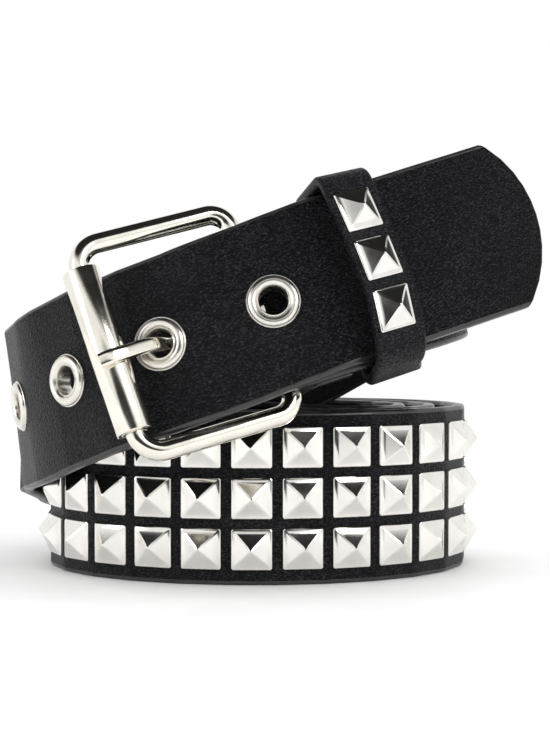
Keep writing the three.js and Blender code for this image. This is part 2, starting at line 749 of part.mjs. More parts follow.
function keeper() {
  const [outer, inner] = [keeperOutline(KEEPER_WALL), keeperOutline(0)];
  const half = KEEPER_WIDTH / 2;
  const rings = [[outer, -half], [outer, half], [inner, half], [inner, -half]].map(
    ([outline, along]) => outline.map((point) => keeperPoint(along, point)));
  const body = new Body();
  body.skin(rings, true);
  return body.geometry();
}

// A separate stud of the keeper, standing just clear of its flat seat.
function keeperStud(place) {
  const face = STRAP_THICKNESS / 2 + KEEPER_CLEARANCE + KEEPER_WALL;
  const [low, high] = [place - STUD_SIZE / 2, place + STUD_SIZE / 2];
  const half = STUD_SIZE / 2;
  const corner = (along, across) => (
    keeperPoint(along + KEEPER_STUD_SLIDE, [across, face + keeperBow(across)]));
  const base = [corner(-half, low), corner(-half, high), corner(half, high), corner(half, low)];
  const out = base[1].clone().sub(base[0]).cross(base[3].clone().sub(base[0])).normalize();
  const seated = base.map((point) => plus(point, out, SEAT_GAP));
  const body = new Body();
  addStud(body, seated, out);
  body.cap(seated, true);
  return body.geometry();
}

// Materials and the assembly
const leather = new THREE.MeshStandardMaterial({ color: 0x17171a, roughness: 0.5, metalness: 0 });
const nickel = new THREE.MeshStandardMaterial({ color: 0xd9d5cc, roughness: 0.16, metalness: 1 });
const satin = new THREE.MeshStandardMaterial({ color: 0xc9c4ba, roughness: 0.32, metalness: 1 });

const belt = new THREE.Group();

function add(name, shape, material) {
  const mesh = new THREE.Mesh(shape, material);
  mesh.name = name;
  belt.add(mesh);
}

add('strap', strap(), leather);
add('keeper', keeper(), leather);
keeperStudPlaces().forEach((place, i) => add(`keeper_stud_${i + 1}`, keeperStud(place), nickel));
eyeletSeats.forEach((seat, i) => add(`eyelet_${i + 1}`, eyelet(seat), satin));
rivetSeats().forEach((seat, i) => add(`fold_rivet_${i + 1}`, rivet(seat), nickel));
add('buckle_frame', buckleFrame(), nickel);
add('buckle_roller', buckleRoller(), satin);
add('buckle_prong', buckleProng(), nickel);

const box = new THREE.Box3().setFromObject(belt);
belt.position.set(-(box.min.x + box.max.x) / 2, -(box.min.y + box.max.y) / 2, -box.min.z);

export default belt;
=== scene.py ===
# The look of a studded leather belt, standing on a table as a coil with its buckle fastened.
# The belt's own lengths are in millimetres and angles in degrees, as in the solid model.
# Meshes are turned to metres when they are made.
import math
import random

import bmesh
import bpy
import numpy as np
from mathutils import Matrix, Vector


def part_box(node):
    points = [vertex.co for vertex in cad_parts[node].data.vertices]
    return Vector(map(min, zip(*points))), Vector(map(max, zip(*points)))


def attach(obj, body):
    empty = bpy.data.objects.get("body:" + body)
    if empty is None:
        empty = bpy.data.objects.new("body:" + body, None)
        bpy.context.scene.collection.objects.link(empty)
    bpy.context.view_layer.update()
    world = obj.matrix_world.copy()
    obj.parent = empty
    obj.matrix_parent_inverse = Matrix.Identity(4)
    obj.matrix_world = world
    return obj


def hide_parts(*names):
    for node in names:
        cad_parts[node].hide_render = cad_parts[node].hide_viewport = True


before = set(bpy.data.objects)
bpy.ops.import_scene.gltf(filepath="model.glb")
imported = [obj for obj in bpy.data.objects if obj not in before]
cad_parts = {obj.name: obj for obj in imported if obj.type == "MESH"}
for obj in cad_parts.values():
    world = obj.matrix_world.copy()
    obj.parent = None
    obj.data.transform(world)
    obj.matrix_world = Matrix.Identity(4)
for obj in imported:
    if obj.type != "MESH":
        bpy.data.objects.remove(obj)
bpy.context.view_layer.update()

MM = 0.001

# The strap
STRAP_WIDTH = 38.0
STRAP_THICKNESS = 3.0
STRAP_EDGE_RADIUS = 0.95
TIP_END_RADIUS = 25.5
TIP_END_REACH = 17.0
TIP_END_SLANT = 3.0
TIP_LENGTH = 56.4
TIP_TWIST = 5.0
LAYER_GAP = 1.5
SEAT_GAP = 0.3
FACE_COLUMNS = 10
BACK_EASING = 0.35

# How finely the strap's line is sampled, and how it runs into its flat stretches
LINE_SAMPLES_PER_MM = 3
DIRECTION_REACH = 0.5
STATION_STEP = 2.0
BLEND_REACH = 4.0
EYELET_FLAT_MARGIN = 0.6
END_ROUNDING_STEPS = 4

# The fold round the heel bar
FOLD_GAP = 0.4
FOLD_CLOSING = 7.0
FOLD_LENGTH = 14.5
FOLD_STEPS = 18
FOLD_CLOSING_STEPS = 8
FOLD_FLAT_STEPS = 4
SLOT_LENGTH = 14.0
SLOT_DEPTH = 13.0
SLOT_CLEARANCE = 1.3
RIVET_FROM_BAR = 10.8
RIVET_SPACING = 18.0
RIVET_HEAD = 6.0
RIVET_HEAD_HEIGHT = 0.8
RIVET_HEAD_EDGE = 0.35

# The pyramid studs
STUD_SIZE = 9.0
STUD_RIM = 0.7
STUD_PEAK = 2.7
STUD_SKIRT = 0.35
STUD_BORDER = 0.42
STUD_BORDER_RISE = 0.03
STUD_CORNER = 0.3
STUD_CORNER_SHARE = 0.4
STUD_SAG = 0.11
STUD_BLUNTING = 0.965
STUD_CREASE = 14
STUD_PITCH = 10.9
STUD_ROW_PITCH = 11.1
STUD_ROWS = 3
STUD_FIELD_MARGIN = 31.1
STUD_FIELD_END_MARGIN = 62.0
STUD_TILT = 3.0
STUD_TILT_LIFT = 0.2
STUD_SEED = 5

# The stud's edge as how far in from its side and how far below its rim, then its sloping faces as
# shares of their half size
STUD_EDGE_RINGS = [(0, 0.34), (0.07, 0.14), (0.2, 0.03)]
STUD_FACE_SHARES = (0.8, 0.6, 0.4, 0.2, 0.06)

# The coil
COIL_HALF_WIDTH = 50.0
COIL_HALF_DEPTH = 40.0
TURN_CLEARANCE = 0.5
TURN_PITCH = STRAP_THICKNESS + STUD_RIM + STUD_PEAK + TURN_CLEARANCE

# The eyelets
EYELET_COUNT = 7
EYELET_FROM_TIP_ROOT = 10.0
EYELET_PITCH = 25.4
EYELET_HOLE = 6.1
EYELET_WALL = 0.6
EYELET_FLANGE = 11.7
EYELET_BACK_FLANGE = 10.4
EYELET_LIP = 0.9
EYELET_BACK_LIP = 0.5
EYELET_SEAT = EYELET_FLANGE + 1
EYELET_SIDES = 64
EYELET_HOLE_SIDES = 32
EYELET_DOME_STEPS = 8
EYELET_RIM_BORDER = 0.35
EYELET_DOME_FOOT = 0.28
EYELET_THROAT_ROUND = 0.45

# The buckle
BUCKLE_WIRE = 4.4
BUCKLE_INNER_HEIGHT = 43.2
BUCKLE_BAR_SPACING = 35.0
BUCKLE_ROLLER_CORNER = 5.4
BUCKLE_HEEL_CORNER = 4.4
BUCKLE_SWING = 4.5
BUCKLE_SHIFT = 1.2
CORNER_STEPS = 14
WIRE_SIDES = 32
ROLLER_DIAMETER = 7.9
ROLLER_LENGTH = 37.0
ROLLER_SIDES = 64
ROLLER_EDGE = 0.25
ROLLER_EDGE_ROUND = 0.3
PRONG_WIDTH = 3.2
PRONG_THICKNESS = 2.2
PRONG_BEVEL = 0.8
PRONG_EYELET = 2
PRONG_LOOP_START = 375.0
PRONG_LOOP_END = 100.0
PRONG_LOOP_STEPS = 24
PRONG_TILT = 22.0
PRONG_DIP = 2.3
PRONG_SLANT = 1.5
PRONG_TIP_SLANT = 1.8
PRONG_PAST_ROLLER = 3.4
PRONG_STEPS = 60
CURVE_SAMPLES = 24

# The keeper loop
KEEPER_WIDTH = 13.0
KEEPER_WALL = 2.5
KEEPER_RAISE = 2.6
KEEPER_CLEARANCE = 0.4
KEEPER_INNER_RADIUS = 1.0
KEEPER_EDGE_RADIUS = 0.9
KEEPER_BOW = 1.2
KEEPER_FRONT_POINTS = 22
KEEPER_BACK_POINTS = 14
KEEPER_SIDE_POINTS = 6
KEEPER_CORNER_STEPS = 8
KEEPER_STUD_COUNT = 3
KEEPER_STUD_PITCH = 11.2
KEEPER_STUD_SHIFT = 0.4
KEEPER_STUD_SLIDE = 0.8
KEEPER_BEND = 0.009
KEEPER_BEND_FROM = -2.0
KEEPER_SWEEP = 4.0
KEEPER_FROM_TIP_ROOT = -13.0

# Attitude of the strap's two straight stretches at the front
FRONT_CLIMB = 17.3
TIP_HEADING = 20.0
BUCKLE_HEADING = 15.0
BUCKLE_CLIMB = 16.2
BUCKLE_LAYER_RAISE = 0.7
BUCKLE_RUN = 30.0
BAR_FROM_TIP_ROOT = 11.8

# Where the strap runs: turn is the angle travelled round the coil from its front middle, out the
# distance outside the first turn in turn pitches, rise the height of the lower edge as a share of
# the strap's width, and lean tips the upper edge outward.
#             turn   out  rise  lean
TIP_ROOT = (-15, 1.5, 1.21, -18)
FRONT_ROWS = [
    (-5, 1.5, 1.11, -16),
    (18, 1.83, 0.88, -11),
    (42, 1.5, 0.68, 0),
    (68, 1.08, 0.51, 7),
    (90, 0.95, 0.44, 6),
    (112.5, 0.87, 0.31, 4),
    (135, 0.81, 0.18, 2),
    (157.5, 0.72, 0.07, 1),
    (180, 0.59, 0.02, 0),
]
RISING_ROWS = [
    (1035, -1.9, 0.005, 0),
    (1057.5, -2.02, 0.02, 1),
    (1080, -2.18, 0.045, 3),
    (1102.5, -2.36, 0.08, 9),
    (1125, -2.52, 0.13, 16),
    (1147.5, -2.64, 0.2, 18),
    (1170, -2.74, 0.29, 8),
    (1192.5, -2.82, 0.4, -2),
    (1215, -2.86, 0.53, -6),
    (1237.5, -2.86, 0.67, -3),
    (1260, -2.84, 0.81, 0),
    (1282, -2.8, 0.95, -4),
    (1302, -2.6, 1.1, -6),
    (1322, -2.05, 1.24, -8),
    (1342, -1.2, 1.35, -9),
    (1359, -0.5, 1.4, -10),
    (1374, 0.15, 1.41, -12),
]
SPIRAL_TURNS = np.arange(202.5, 1012.6, 22.5)

# The camera, placed from the middle of the coil at the strap's lower edge
CAMERA_PLACE = (5.8, -390.0, 55.0)
CAMERA_PITCH = 1.18
CAMERA_LENS = 79.07
SENSOR = 36.0
CAMERA_NEAR = 0.01

# The floor's size and the light, in metres and watts
FLOOR_SIZE = 1.4
BELT_MIDDLE = (0, 0, 0.05)

# Tones of leather from its pores to the tips of its grain; the lightest, on the grain's tips, is a
# painted highlight standing for glints of sheen
GRAIN_TONES_AND_GLINT = ((0.001, 0.001, 0.002), (0.004, 0.004, 0.006), (0.045, 0.045, 0.05))
BACK_TONES_AND_GLINT = ((0.004, 0.004, 0.005), (0.01, 0.01, 0.011), (0.02, 0.02, 0.021))


# Vectors and frames of the strap

def unit(v):
    return v / np.linalg.norm(v)


def turned_about(v, axis, degrees):
    """A vector turned about a unit axis by the right-hand rule."""
    c, s = math.cos(math.radians(degrees)), math.sin(math.radians(degrees))
    return v * c + np.cross(axis, v) * s + axis * np.dot(axis, v) * (1 - c)


class Axes:
    """A place with directions along the strap, across it and out of its face."""

    def __init__(self, centre, along, across):
        self.centre = np.asarray(centre, float)
        self.along = along
        self.across = across
        self.out = np.cross(across, along)

    def point(self, along, across=0.0, out=0.0):
        return self.centre + self.along * along + self.across * across + self.out * out

    def moved(self, along, across=0.0, out=0.0):
        return Axes(self.point(along, across, out), self.along, self.across)

    def swung(self, degrees):
        return Axes(self.centre, turned_about(self.along, self.across, degrees), self.across)

    def matrix(self):
        """The frame in metres as a Blender matrix, with +Z out of the face."""
        columns = [self.along, -self.across, self.out]
        rows = [[c[i] for c in columns] + [self.centre[i] * MM] for i in range(3)]
        return Matrix(rows + [[0, 0, 0, 1]])


def natural_spline(knots, rows):
    """A natural cubic spline through rows of numbers, as a function of many places at once."""
    knots, rows = np.asarray(knots, float), np.asarray(rows, float)
    gap = np.diff(knots)
    size = len(knots)
    system, right = np.eye(size), np.zeros_like(rows)
    for i in range(1, size - 1):
        system[i, i - 1:i + 2] = gap[i - 1], 2 * (gap[i - 1] + gap[i]), gap[i]
        right[i] = 6 * ((rows[i + 1] - rows[i]) / gap[i] - (rows[i] - rows[i - 1]) / gap[i - 1])
    bend = np.linalg.solve(system, right)

    def at(places):
        i = np.clip(np.searchsorted(knots, places, side="right") - 1, 0, size - 2)
        step = gap[i][:, None]
        b = (places - knots[i])[:, None] / step
        a = 1 - b
        curl = ((a ** 3 - a) * bend[i] + (b ** 3 - b) * bend[i + 1]) * step ** 2 / 6
        return a * rows[i] + b * rows[i + 1] + curl

    return at


class StrapLine:
    """The strap's middle line with its lean, sampled evenly by length."""

    def __init__(self, stops):
        stops = np.asarray(stops, float)
        chords = np.linalg.norm(np.diff(stops[:, :3], axis=0), axis=1)
        knots = np.concatenate([[0], np.cumsum(chords)])
        samples = math.ceil(knots[-1] * LINE_SAMPLES_PER_MM)
        self.rows = natural_spline(knots, stops)(np.linspace(0, knots[-1], samples + 1))
        steps = np.linalg.norm(np.diff(self.rows[:, :3], axis=0), axis=1)
        self.places = np.concatenate([[0], np.cumsum(steps)])
        self.length = self.places[-1]

    def row(self, place):
        if place < 0:
            slope = (self.rows[1] - self.rows[0]) / self.places[1]
            return self.rows[0] + slope * place
        if place > self.length:
            slope = (self.rows[-1] - self.rows[-2]) / (self.places[-1] - self.places[-2])
            return self.rows[-1] + slope * (place - self.length)
        return np.array([np.interp(place, self.places, column) for column in self.rows.T])

    def at(self, place):
        row = self.row(place)
        ahead, behind = self.row(place + DIRECTION_REACH), self.row(place - DIRECTION_REACH)
        along = unit((ahead - behind)[:3])
        up = np.array([0.0, 0.0, 1.0])
        across = unit(up - along * np.dot(up, along))
        return Axes(row[:3], along, turned_about(across, along, -row[3]))

    def seat(self, middle, size):
        """A flat stretch of the strap that a stud or an eyelet sits on."""
        start, end = self.at(middle - size / 2), self.at(middle + size / 2)
        along = unit(end.centre - start.centre)
        across = start.across + end.across
        across = unit(across - along * np.dot(across, along))
        return Axes((start.centre + end.centre) / 2, along, across)


def coil_point(turn, out, rise):
    angle = math.radians(turn)
    half_width = COIL_HALF_WIDTH - STRAP_THICKNESS / 2
    half_depth = COIL_HALF_DEPTH - STRAP_THICKNESS / 2
    normal = unit(np.array([-math.sin(angle) / half_width, -math.cos(angle) / half_depth, 0]))
    on_turn = np.array([-half_width * math.sin(angle), -half_depth * math.cos(angle), 0])
    height = np.array([0, 0, STRAP_WIDTH * (0.5 + rise)])
    return on_turn + normal * out * TURN_PITCH + height


def heading(turn, climb):
    h, c = math.radians(turn), math.radians(climb)
    return np.array([math.cos(c) * math.cos(h), math.cos(c) * math.sin(h), math.sin(c)])


def strap_stops():
    """The stops of the strap's line from its tip to the heel bar, as x, y, z and lean."""
    turn, out, rise, lean = TIP_ROOT
    root = coil_point(turn, out, rise)
    tip_way = heading(TIP_HEADING, FRONT_CLIMB) * TIP_LENGTH
    tip = [[*(root + tip_way * k / 4), lean + TIP_TWIST * k / 4] for k in (4, 3, 2, 1, 0)]
    front = [[*coil_point(*row[:3]), row[3]] for row in FRONT_ROWS]
    spiral = [[*coil_point(turn, 1 - turn / 360, 0), 0] for turn in SPIRAL_TURNS]
    rising = [[*coil_point(*row[:3]), row[3]] for row in RISING_ROWS]
    over = StrapLine(tip + front).at(TIP_LENGTH + BAR_FROM_TIP_ROOT)
    under = over.point(0, BUCKLE_LAYER_RAISE, -STRAP_THICKNESS - LAYER_GAP)
    buckle_way = heading(BUCKLE_HEADING, BUCKLE_CLIMB) * BUCKLE_RUN
    buckle_end = [[*(under + buckle_way * k / 3), lean] for k in (3, 2, 1, 0)]
    return tip + front + spiral + rising + buckle_end


def in_row_frame(line):
    """Moves the line so that its rivets lie where the solid model has them."""
    bar = line.at(line.length)
    rivet = bar.point(-RIVET_FROM_BAR, -RIVET_SPACING / 2, -(STRAP_THICKNESS + FOLD_GAP) / 2)
    low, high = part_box("fold_rivet_1")
    shift = np.array((low + high) / 2) / MM - rivet
    line.rows[:, :3] += shift
    return line, shift


line, SHIFT = in_row_frame(StrapLine(strap_stops()))
FIRST_EYELET = TIP_LENGTH + EYELET_FROM_TIP_ROOT
EYELET_PLACES = [FIRST_EYELET + i * EYELET_PITCH for i in range(EYELET_COUNT)]
eyelet_seats = [line.seat(place, EYELET_SEAT) for place in EYELET_PLACES]
STUD_PLACES = np.arange(EYELET_PLACES[-1] + STUD_FIELD_MARGIN,
                        line.length - STUD_FIELD_END_MARGIN, STUD_PITCH)
stud_seats = [line.seat(place, STUD_SIZE) for place in STUD_PLACES]

FOLD_RADIUS = BUCKLE_WIRE / 2 + SEAT_GAP + STRAP_THICKNESS / 2
belt_end = line.at(line.length)
heel_bar = belt_end.moved(0, 0, -FOLD_RADIUS)
prong_root = heel_bar.swung(BUCKLE_SWING)
buckle = prong_root.moved(0, BUCKLE_SHIFT)
keeper_seat = line.at(TIP_LENGTH + KEEPER_FROM_TIP_ROOT)


# Meshes

def new_piece(name, points, faces, materials, uvs=None, face_materials=None, crease=35.0):
    """A mesh piece from points in millimetres, smooth but for its sharp edges."""
    mesh = bpy.data.meshes.new(name)
    mesh.from_pydata([tuple(float(c) * MM for c in p) for p in points], [], faces)
    mesh.update()
    if uvs is not None:
        layer = mesh.uv_layers.new(name="strap_mm")
        layer.data.foreach_set("uv", np.asarray(uvs, np.float32).ravel())
    for material in materials:
        mesh.materials.append(material)
    if face_materials is not None:
        mesh.polygons.foreach_set("material_index", face_materials)
    turn_outward(mesh)
    mesh.shade_smooth()
    mesh.set_sharp_from_angle(angle=math.radians(crease))
    piece = bpy.data.objects.new(name, mesh)
    bpy.context.scene.collection.objects.link(piece)
    return piece


def turn_outward(mesh):
    solid = bmesh.new()
    solid.from_mesh(mesh)
    bmesh.ops.recalc_face_normals(solid, faces=solid.faces)
    solid.to_mesh(mesh)
    solid.free()


def skin_faces(ring_count, ring_size, closed=False):
    """Quads that join rings of points in order."""
    faces = []
    for i in range(ring_count if closed else ring_count - 1):
        j = (i + 1) % ring_count
        for k in range(ring_size):
            n = (k + 1) % ring_size
            faces.append((i * ring_size + k, i * ring_size + n, j * ring_size + n, j * ring_size + k))
    return faces


def arc(centre, radius, start, end, steps):
    """Points of an arc, ends included."""
    angles = np.radians(np.linspace(start, end, steps + 1))
    return [(centre[0] + radius * math.cos(a), centre[1] + radius * math.sin(a)) for a in angles]


def rounded_section(half_width, half_height, radius, width_steps, corner_steps=4):
    """A rounded rectangle, from its lower front corner up the front face and round."""
    w, h = half_width - radius, half_height - radius
    front = [(x, half_height) for x in np.linspace(-w, w, width_steps + 1)]
    top = arc((w, h), radius, 90, 0, corner_steps)[1:] + arc((w, -h), radius, 0, -90, corner_steps)
    back = [(x, -half_height) for x in np.linspace(w, -w, width_steps + 1)][1:]
    low = arc((-w, -h), radius, -90, -180, corner_steps)[1:]
    low += arc((-w, h), radius, 180, 90, corner_steps)[:-1]
    return np.array(front + top + back + low)


# The strap's leather

def flat_stretches():
    """The stretches that stay flat under eyelets and studs, in order: seat, middle, half size."""
    eyelet_half = EYELET_FLANGE / 2 - EYELET_FLAT_MARGIN
    flats = [(seat, place, eyelet_half) for seat, place in zip(eyelet_seats, EYELET_PLACES)]
    return flats + [(seat, place, STUD_SIZE / 2) for seat, place in zip(stud_seats, STUD_PLACES)]


def blended(place, before, after):
    """A frame between two flats: the strap's line, drawn to where each flat ends."""
    plain = line.at(place)
    centre, along, across = plain.centre.copy(), plain.along.copy(), plain.across.copy()
    for flat, side in ((before, 1), (after, -1)):
        if flat is None:
            continue
        seat, middle, half = flat
        edge = middle + side * half
        share = min(1.0, abs(place - edge) / BLEND_REACH)
        weight = 1 - share * share * (3 - 2 * share)
        there = line.at(edge)
        centre += (seat.point(side * half) - there.centre) * weight
        along += (seat.along - there.along) * weight
        across += (seat.across - there.across) * weight
    along = unit(along)
    return Axes(centre, along, unit(across - along * np.dot(across, along)))


def bridged(before, after, share):
    """A frame between two flats that are close together, on a smooth curve."""
    seat_a, middle_a, half_a = before
    seat_b, middle_b, half_b = after
    start, end = seat_a.point(half_a), seat_b.point(-half_b)
    chord = np.linalg.norm(end - start)
    t = share
    centre = ((2 * t**3 - 3 * t**2 + 1) * start + (t**3 - 2 * t**2 + t) * chord * seat_a.along
              + (3 * t**2 - 2 * t**3) * end + (t**3 - t**2) * chord * seat_b.along)
    along = unit(seat_a.along * (1 - t) + seat_b.along * t)
    across = seat_a.across * (1 - t) + seat_b.across * t
    return Axes(centre, along, unit(across - along * np.dot(across, along)))


def strap_stations():
    """Frames of the strap from its tip to the heel bar, each with its place and back easing."""
    stations = []
    reached, before = 0.0, None
    for flat in [*flat_stretches(), None]:
        edge = line.length if flat is None else flat[1] - flat[2]
        room = edge - reached
        if before is not None and flat is not None and room < STATION_STEP * 2:
            for share in (0.25, 0.5, 0.75):
                stations.append((bridged(before, flat, share), reached + room * share, 0.0))
        else:
            steps = max(2, round(room / STATION_STEP))
            first = 0 if before is None else 1
            for k in range(first, steps):
                place = reached + room * k / steps
                stations.append((blended(place, before, flat), place, 0.0))
        if flat is None:
            break
        seat, middle, half = flat
        for share in (-1, -0.5, 0, 0.5, 1):
            stations.append((seat.moved(share * half), middle + share * half, -share * BACK_EASING))
        reached, before = middle + half, flat
    return stations + fold_stations()


def fold_stations():
    """Frames of the strap's end, round the heel bar and back behind its own front layer."""
    stations = []
    for angle in np.linspace(0, 180, FOLD_STEPS + 1):
        frame_here = belt_end.swung(angle)
        centre = heel_bar.centre + frame_here.out * FOLD_RADIUS
        stations.append(Axes(centre, frame_here.along, belt_end.across))
    close_depth, wide_depth = STRAP_THICKNESS + FOLD_GAP, 2 * FOLD_RADIUS
    drop = wide_depth - close_depth
    for share in np.linspace(0, 1, FOLD_CLOSING_STEPS + 1)[1:]:
        depth = wide_depth - drop * share**2 * (3 - 2 * share)
        slope = math.degrees(math.atan(6 * share * (1 - share) * drop / FOLD_CLOSING))
        along = turned_about(-belt_end.along, belt_end.across, slope)
        centre = belt_end.point(-share * FOLD_CLOSING, 0, -depth)
        stations.append(Axes(centre, along, belt_end.across))
    for back in np.linspace(FOLD_CLOSING, FOLD_LENGTH, FOLD_FLAT_STEPS + 1)[1:]:
        stations.append(Axes(belt_end.point(-back, 0, -close_depth), -belt_end.along, belt_end.across))
    places = [line.length]
    for before, after in zip(stations, stations[1:]):
        places.append(places[-1] + np.linalg.norm(after.centre - before.centre))
    return [(station, place, 0.0) for station, place in zip(stations, places)]


def tip_setback(across):
    """How far the tip's round end sets back, across the strap."""
    slant = TIP_END_SLANT * (0.5 - across / STRAP_WIDTH)
    return TIP_END_RADIUS - math.sqrt(TIP_END_RADIUS**2 - across**2) + slant


def strap_ring(station, place, easing, section, inset):
    """One ring of the strap, drawn in all round by an inset at the strap's two ends."""
    fade = max(0.0, 1 - place / TIP_END_REACH)
    half_width, half_height = STRAP_WIDTH / 2, STRAP_THICKNESS / 2
    points = []
    for x, y in section:
        across = x * (1 - inset / half_width)
        out = y * (1 - inset / half_height)
        along = tip_setback(across) * fade + (easing if y < 0 else 0)
        points.append(station.point(along, across, out))
    return points


def strap_rings(section):
    """The strap's rings from tip to fold, rounded in at both ends, each with its place."""
    stations = strap_stations()
    end_angles = np.radians(np.linspace(0, 90, END_ROUNDING_STEPS + 1))
    insets = [STRAP_EDGE_RADIUS * (1 - math.sin(a)) for a in end_angles]
    backs = [STRAP_EDGE_RADIUS * (1 - math.cos(a)) for a in end_angles]
    rings, places = [], []
    first, last = stations[0], stations[-1]
    for inset, back in zip(insets, backs):
        rings.append(strap_ring(first[0].moved(back), back, 0, section, inset))
        places.append(back)
    for station, place, easing in stations[1:-1]:
        rings.append(strap_ring(station, place, easing, section, 0))
        places.append(place)
    for inset, back in zip(insets[::-1], backs[::-1]):
        rings.append(strap_ring(last[0].moved(-back), last[1], 0, section, inset))
        places.append(last[1] - back)
    return rings, places


def strap_map(section, places, skin):
    """The map of the strap's skin and of its two end caps, in millimetres along and round it."""
    size = len(section)
    girth = np.concatenate([[0], np.cumsum(np.linalg.norm(np.diff(section, axis=0), axis=1))])
    uvs = []
    for face in skin:
        columns = {index % size for index in face}
        for index in face:
            column = index % size
            closing = columns == {0, size - 1} and column == 0
            uvs.append((places[index // size], girth[-1] if closing else girth[column]))
    for place in (places[0], places[-1]):
        uvs += [(place + y, x) for x, y in section]
    return uvs


def strap_material_index(face, size):
    """0 for the leather's face, 1 for the painted edge and 2 for the back."""
    columns = {index % size for index in face}
    low = min(columns)
    if len(face) > 4 or columns == {0, size - 1}:
        return 1
    if low < FACE_COLUMNS:
        return 0
    if size // 2 <= low < size // 2 + FACE_COLUMNS:
        return 2
    return 1


def strap_leather():
    section = rounded_section(STRAP_WIDTH / 2, STRAP_THICKNESS / 2, STRAP_EDGE_RADIUS, FACE_COLUMNS)
    size = len(section)
    rings, places = strap_rings(section)
    skin = skin_faces(len(rings), size)
    last = (len(rings) - 1) * size
    faces = skin + [list(range(size)), list(range(last, last + size))[::-1]]
    points = [point for ring in rings for point in ring]
    kinds = [strap_material_index(face, size) for face in faces]
    piece = new_piece("strap_leather", points, faces, [face_leather, edge_paint, back_leather],
                      strap_map(section, places, skin), kinds, crease=50)
    cut_holes(piece)
    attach(piece, "root")
    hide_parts("strap")


def cut_holes(piece):
    """Cuts the eyelets' holes and the prong's slot right through the strap."""
    cutters = []
    bore = EYELET_HOLE / 2 + EYELET_WALL + SEAT_GAP
    for seat in eyelet_seats:
        bpy.ops.mesh.primitive_cylinder_add(vertices=EYELET_HOLE_SIDES, radius=bore * MM,
                                            depth=2 * STRAP_THICKNESS * MM)
        cutters.append(bpy.context.object)
        cutters[-1].matrix_world = seat.matrix()
    bpy.ops.mesh.primitive_cube_add(size=1)
    cutters.append(bpy.context.object)
    slot_size = (SLOT_LENGTH * MM, (PRONG_WIDTH + 2 * SLOT_CLEARANCE) * MM, SLOT_DEPTH * MM, 1)
    cutters[-1].matrix_world = heel_bar.matrix() @ Matrix.Diagonal(slot_size)
    for cutter in cutters:
        cut = piece.modifiers.new("cut", "BOOLEAN")
        cut.operation = "DIFFERENCE"
        cut.solver = "EXACT"
        cut.object = cutter
    bpy.context.view_layer.update()
    graph = bpy.context.evaluated_depsgraph_get()
    done = bpy.data.meshes.new_from_object(piece.evaluated_get(graph))
    piece.modifiers.clear()
    piece.data = done
    for cutter in cutters:
        bpy.data.objects.remove(cutter)


# Studs

def stud_rings():
    """Half sizes and heights of a stud's square rings, from its skirt to its peak."""
    half = STUD_SIZE / 2
    rows = [(half, -STUD_SKIRT)]
    rows += [(half - inward, STUD_RIM - below) for inward, below in STUD_EDGE_RINGS]
    slope_half = half - STUD_BORDER
    rows.append((slope_half, STUD_RIM + STUD_BORDER_RISE))
    for share in STUD_FACE_SHARES:
        sag = STUD_SAG * math.sin(math.pi * share)
        rows.append((slope_half * share, STUD_RIM + STUD_PEAK * (1 - share) - sag))
    return rows


def stud_mesh(tilt_x=0.0, tilt_y=0.0):
    """Points and faces of one stud round the origin, with +Z out, leaning a little."""
    rings = stud_rings()
    points = []
    for half, height in rings:
        cut = min(STUD_CORNER, half * STUD_CORNER_SHARE)
        ring = [(half, -half + cut), (half, half - cut), (half - cut, half), (-half + cut, half),
                (-half, half - cut), (-half, -half + cut), (-half + cut, -half), (half - cut, -half)]
        lean = max(0.0, height)
        for x, y in ring:
            lift = (x * tilt_y + y * tilt_x) * STUD_TILT_LIFT
            points.append((x + lean * tilt_y, y + lean * tilt_x, height + lift))
    sides = 8
    faces = skin_faces(len(rings), sides)
    top = len(points)
    points.append((0, 0, STUD_RIM + STUD_PEAK * STUD_BLUNTING))
    last = top - sides
    faces += [(last + k, last + (k + 1) % sides, top) for k in range(sides)]
    faces.append(list(range(sides))[::-1])
    return np.array(points), faces


def strap_studs():
    """All the studs of the strap as one mesh, each leaning a little its own way."""
    chance = random.Random(STUD_SEED)
    points, faces = [], []
    for seat in stud_seats:
        for row in range(STUD_ROWS):
            across = (row - (STUD_ROWS - 1) / 2) * STUD_ROW_PITCH
            tilts = [math.radians(chance.uniform(-STUD_TILT, STUD_TILT)) for _ in range(2)]
            own, own_faces = stud_mesh(*tilts)
            start = len(points)
            for x, y, z in own:
                points.append(seat.point(x, across - y, STRAP_THICKNESS / 2 + z))
            faces += [[start + i for i in face] for face in own_faces]
    piece = new_piece("strap_studs", points, faces, [stud_nickel], crease=STUD_CREASE)
    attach(piece, "root")


# The keeper

def layer_inside_keeper():
    """How deep behind the tip, and how low, the strap's buckle end runs through the keeper."""
    depth, low = 0.0, 0.0
    reach = 2 * BUCKLE_RUN
    for back in range(round(reach)):
        here = line.at(line.length - back)
        for side in (-1, 1):
            offset = here.point(0, side * STRAP_WIDTH / 2, -STRAP_THICKNESS / 2) - keeper_seat.centre
            if abs(np.dot(offset, keeper_seat.along)) > KEEPER_WIDTH / 2 + KEEPER_SWEEP:
                continue
            depth = max(depth, -np.dot(offset, keeper_seat.out))
            low = max(low, -np.dot(offset, keeper_seat.across))
    return depth, low


LAYER_DEPTH, LAYER_LOW = layer_inside_keeper()


